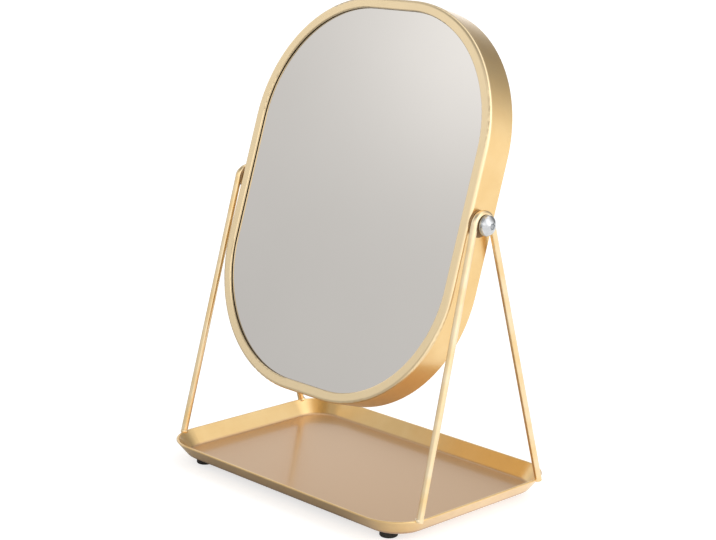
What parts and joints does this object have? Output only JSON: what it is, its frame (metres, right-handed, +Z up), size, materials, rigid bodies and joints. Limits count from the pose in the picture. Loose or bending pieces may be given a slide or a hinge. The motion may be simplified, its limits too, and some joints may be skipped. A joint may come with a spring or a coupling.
{
  "type": "tabletop mirror with tray",
  "caption": "Round-cornered tabletop mirror that tilts between two inverted-V wires over a shallow open tray.",
  "frame": {"origin": "middle of the surface that the rubber feet stand on", "axes": "+Z up, -Y towards the person who looks into the glass, +X to the right seen from there"},
  "size_m": [0.1828, 0.1162, 0.2457],
  "materials": {
    "tray_paint": "satin gold lacquer",
    "wire_paint": "satin gold lacquer",
    "frame_paint": "satin gold lacquer",
    "cover_paint": "satin gold lacquer",
    "foot_rubber": "matt black",
    "silvered_glass": "polished, silvered behind",
    "pad_foam": "closed-cell foam sheet",
    "board_fibre": "fibreboard, sawn edges",
    "zinc_steel": "zinc plated",
    "cover_screw_steel": "zinc plated",
    "screw_chrome": "bright chrome",
    "washer_steel": "bright zinc",
    "bush_nylon": "moulded nylon"
  },
  "bodies": {
    "stand": {"tray": "tray_paint", "foot_front_left": "foot_rubber", "foot_front_right": "foot_rubber", "foot_back_left": "foot_rubber", "foot_back_right": "foot_rubber", "left_stand_wire": "wire_paint", "right_stand_wire": "wire_paint"},
    "mirror": {"mirror_frame": "frame_paint", "mirror_glass": "silvered_glass", "foam_pad": "pad_foam", "backing_board": "board_fibre", "left_pivot_bracket": "zinc_steel", "right_pivot_bracket": "zinc_steel", "left_pivot_nut": "zinc_steel", "right_pivot_nut": "zinc_steel", "bracket_screws": "zinc_steel", "back_cover": "cover_paint", "cover_screws": "cover_screw_steel", "cover_spacers": "zinc_steel", "left_pivot_screw": "screw_chrome", "right_pivot_screw": "screw_chrome", "left_screw_washer": "washer_steel", "right_screw_washer": "washer_steel", "left_pivot_bush": "bush_nylon", "right_pivot_bush": "bush_nylon"}
  },
  "joints": [
    {"name": "mirror_tilt", "type": "hinge", "parent": "stand", "child": "mirror", "pos_m": [0, 0, 0.1474], "axis": [1, 0, 0], "continuous": true}
  ]
}
